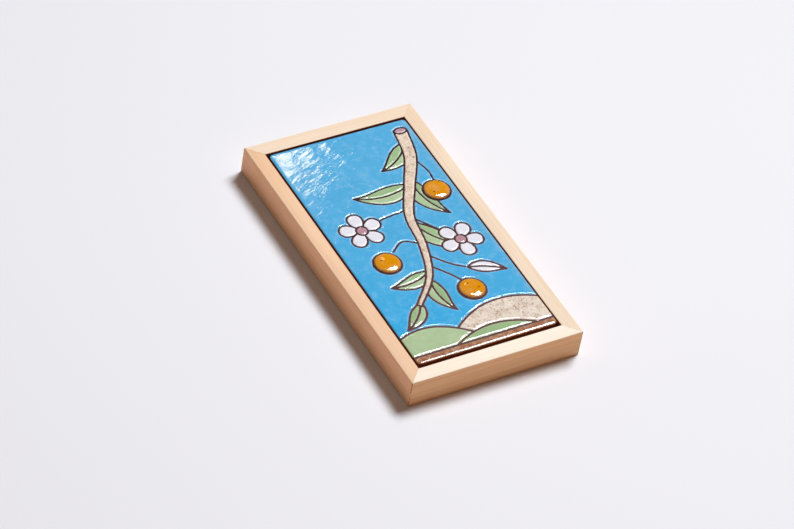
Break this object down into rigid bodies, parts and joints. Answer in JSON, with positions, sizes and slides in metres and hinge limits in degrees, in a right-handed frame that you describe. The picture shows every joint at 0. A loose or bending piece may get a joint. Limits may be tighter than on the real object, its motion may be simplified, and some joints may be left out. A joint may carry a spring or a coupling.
{
  "type": "framed ceramic tile",
  "caption": "Glazed tile with a sunk-line fruiting branch design, set proud in a narrow mitred pale wood frame with an open gap all round. Hangs on a wall or lies flat.",
  "frame": {"origin": "centre of the back, on the plane of the wall or table it rests on", "axes": "+Z out of the wall, the way the picture faces; +Y towards the picture's top; +X towards the picture's right"},
  "size_m": [0.121, 0.221, 0.0221],
  "materials": {
    "frame_wood": "pale, fine straight grain, satin",
    "board_wood": "dark stained, matte",
    "tile_glaze": "glossy coloured glazes parted by matte brown lines"
  },
  "bodies": {
    "root": {"frame_rail_top": "frame_wood", "frame_rail_bottom": "frame_wood", "frame_rail_left": "frame_wood", "frame_rail_right": "frame_wood", "backing_board": "board_wood", "tile": "tile_glaze"}
  },
  "joints": []
}
